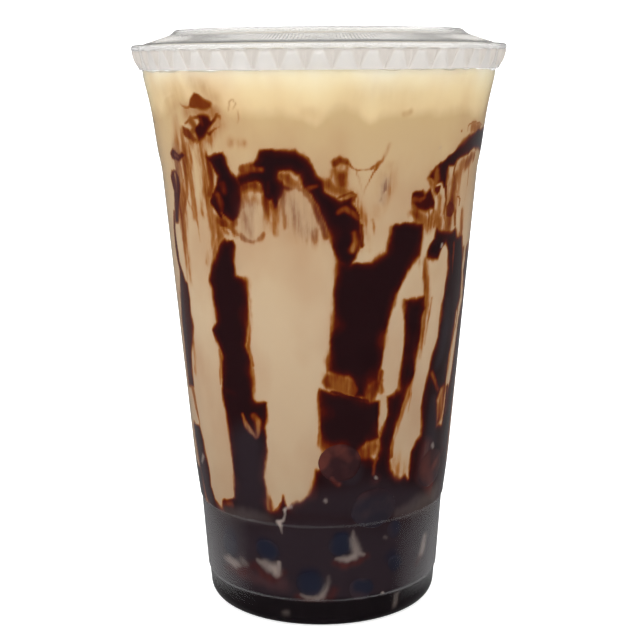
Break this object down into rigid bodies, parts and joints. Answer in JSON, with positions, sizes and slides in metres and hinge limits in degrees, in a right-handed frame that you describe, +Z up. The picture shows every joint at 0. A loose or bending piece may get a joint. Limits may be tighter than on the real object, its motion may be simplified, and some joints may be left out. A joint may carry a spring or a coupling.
{
  "type": "bubble tea",
  "caption": "Clear lidded cup of milk tea with dark syrup streaks, tapioca pearls at the bottom and a pale cream layer on top.",
  "frame": {"origin": "on the table under the middle of the cup's foot", "axes": "+Z up along the cup, -Y towards the viewer of the picture, +X to the viewer's right"},
  "size_m": [0.1008, 0.1008, 0.158],
  "materials": {
    "cup_plastic": "clear, glossy",
    "lid_plastic": "clear, glossy, ribbed",
    "milk_tea": "opaque liquid",
    "cream": "soft, matt",
    "pearl": "wet, glossy",
    "syrup": "wet, glossy"
  },
  "bodies": {
    "root": {"cup": "cup_plastic", "lid": "lid_plastic", "milk_tea": "milk_tea", "cream_top": "cream", "pearls": "pearl"}
  },
  "joints": []
}
